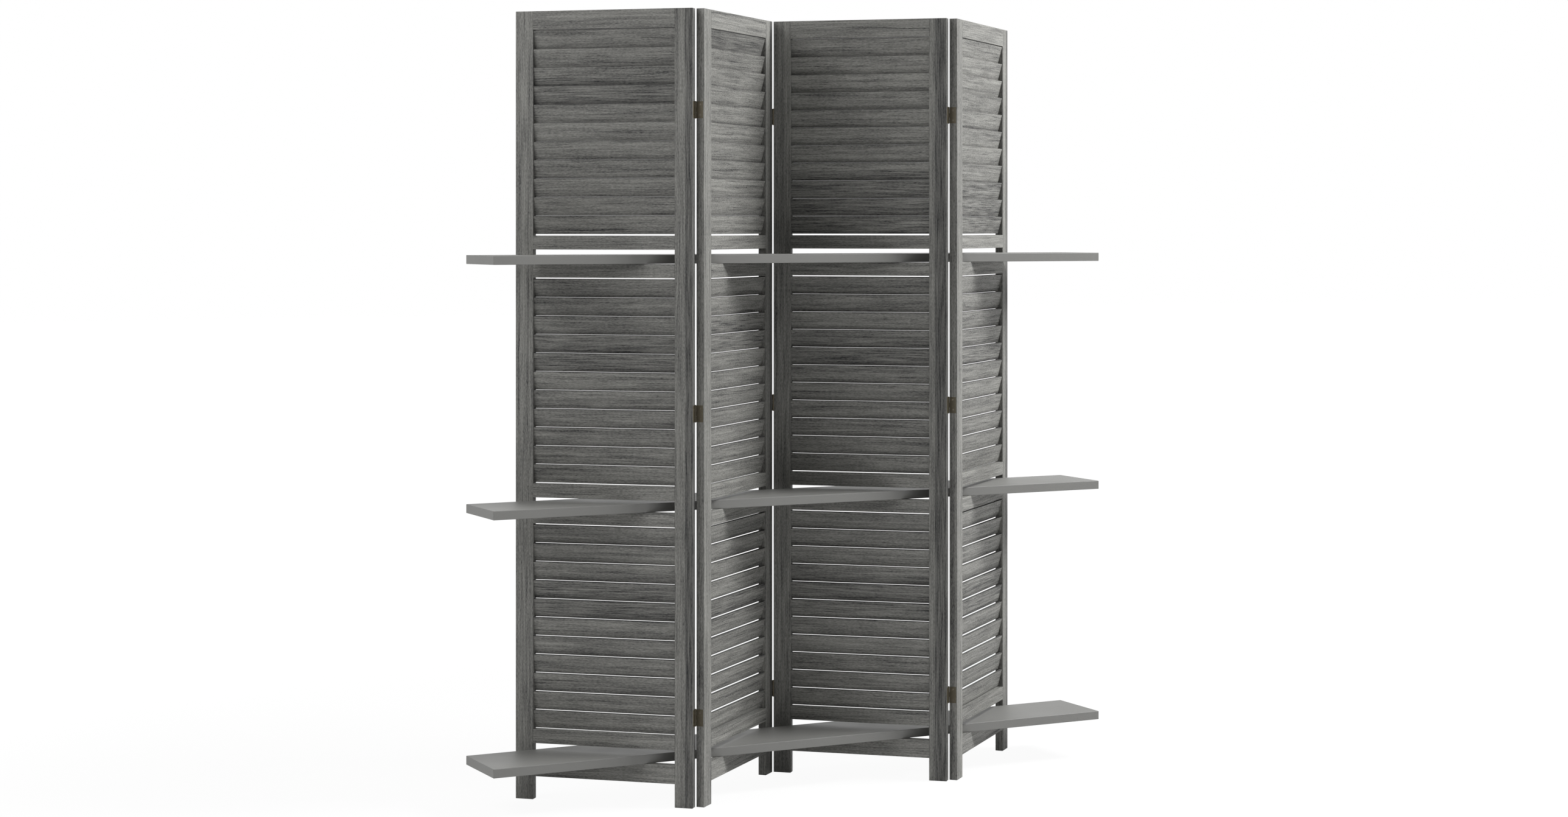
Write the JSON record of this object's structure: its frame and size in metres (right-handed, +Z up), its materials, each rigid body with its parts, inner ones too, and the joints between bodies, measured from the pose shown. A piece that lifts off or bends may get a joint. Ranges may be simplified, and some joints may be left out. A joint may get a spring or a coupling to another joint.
{
  "type": "folding screen",
  "caption": "Freestanding louvered folding screen of hinged slatted panels in a zigzag, with long shelf boards passing through slots in the panels.",
  "frame": {"origin": "on the floor, at the middle of the bounding box, which is the middle of the screen and of the shelves' length", "axes": "+X along the shelves, to the right as seen from the front; +Y from the front of the screen to its back; +Z up"},
  "size_m": [1.496, 0.2812, 1.7001],
  "materials": {
    "frame_wood": "grey-washed open grain, matt",
    "slat_wood": "grey-washed open grain, matt, varying from slat to slat",
    "shelf_board": "plain grey fine-textured board, matt",
    "dowel_wood": "bare beech",
    "hinge_metal": "dark bronze, satin",
    "screw_metal": "dark bronze, satin"
  },
  "bodies": {
    "panel_1": {"panel_1_left_stile": "frame_wood", "panel_1_right_stile": "frame_wood", "panel_1_top_rail": "frame_wood", "panel_1_bottom_rail": "frame_wood", "panel_1_shelf_rails": "frame_wood", "panel_1_lower_slats": "slat_wood", "panel_1_middle_slats": "slat_wood", "panel_1_upper_slats": "slat_wood", "panel_1_dowels": "dowel_wood", "panel_1_hinge_screws": "screw_metal", "hinges_1_2_left_leaves": "hinge_metal", "hinges_1_2_pins": "hinge_metal"},
    "panel_2": {"panel_2_left_stile": "frame_wood", "panel_2_right_stile": "frame_wood", "panel_2_top_rail": "frame_wood", "panel_2_bottom_rail": "frame_wood", "panel_2_shelf_rails": "frame_wood", "panel_2_lower_slats": "slat_wood", "panel_2_middle_slats": "slat_wood", "panel_2_upper_slats": "slat_wood", "panel_2_dowels": "dowel_wood", "panel_2_hinge_screws": "screw_metal", "hinges_1_2_right_leaves": "hinge_metal", "hinges_2_3_left_leaves": "hinge_metal", "hinges_2_3_pins": "hinge_metal"},
    "panel_3": {"panel_3_left_stile": "frame_wood", "panel_3_right_stile": "frame_wood", "panel_3_top_rail": "frame_wood", "panel_3_bottom_rail": "frame_wood", "panel_3_shelf_rails": "frame_wood", "panel_3_lower_slats": "slat_wood", "panel_3_middle_slats": "slat_wood", "panel_3_upper_slats": "slat_wood", "panel_3_dowels": "dowel_wood", "panel_3_hinge_screws": "screw_metal", "hinges_2_3_right_leaves": "hinge_metal", "hinges_3_4_left_leaves": "hinge_metal", "hinges_3_4_pins": "hinge_metal"},
    "panel_4": {"panel_4_left_stile": "frame_wood", "panel_4_right_stile": "frame_wood", "panel_4_top_rail": "frame_wood", "panel_4_bottom_rail": "frame_wood", "panel_4_shelf_rails": "frame_wood", "panel_4_lower_slats": "slat_wood", "panel_4_middle_slats": "slat_wood", "panel_4_upper_slats": "slat_wood", "panel_4_dowels": "dowel_wood", "panel_4_hinge_screws": "screw_metal", "hinges_3_4_right_leaves": "hinge_metal"},
    "bottom_shelf": {"bottom_shelf": "shelf_board"},
    "middle_shelf": {"middle_shelf": "shelf_board"},
    "top_shelf": {"top_shelf": "shelf_board"}
  },
  "joints": [
    {"name": "fold_1_2", "type": "hinge", "parent": "panel_2", "child": "panel_1", "pos_m": [-0.31175, -0.12612, 0.85], "axis": [0, 0, -1], "range_deg": [-6.5, 95.7]},
    {"name": "fold_2_3", "type": "hinge", "parent": "panel_2", "child": "panel_3", "pos_m": [0, 0.12612, 0.85], "axis": [0, 0, -1], "range_deg": [-6.5, 95.7]},
    {"name": "fold_3_4", "type": "hinge", "parent": "panel_3", "child": "panel_4", "pos_m": [0.31175, -0.12612, 0.85], "axis": [0, 0, 1], "range_deg": [-6.5, 95.7]},
    {"name": "shelf_turn", "type": "hinge", "parent": "panel_2", "child": "bottom_shelf", "pos_m": [-0.15588, 0, 0.1], "axis": [0, 0, -1], "range_deg": [-3.25, 47.85]},
    {"name": "middle_shelf_slide", "type": "slide", "parent": "bottom_shelf", "child": "middle_shelf", "axis": [1, 0, 0], "range_m": [-1.38, 1.38]},
    {"name": "top_shelf_slide", "type": "slide", "parent": "bottom_shelf", "child": "top_shelf", "axis": [1, 0, 0], "range_m": [-1.38, 1.38]}
  ],
  "couplings": [
    {"joint": "fold_2_3", "follows": "fold_1_2", "ratio": 1},
    {"joint": "fold_3_4", "follows": "fold_1_2", "ratio": 1},
    {"joint": "shelf_turn", "follows": "fold_1_2", "ratio": 0.5}
  ]
}
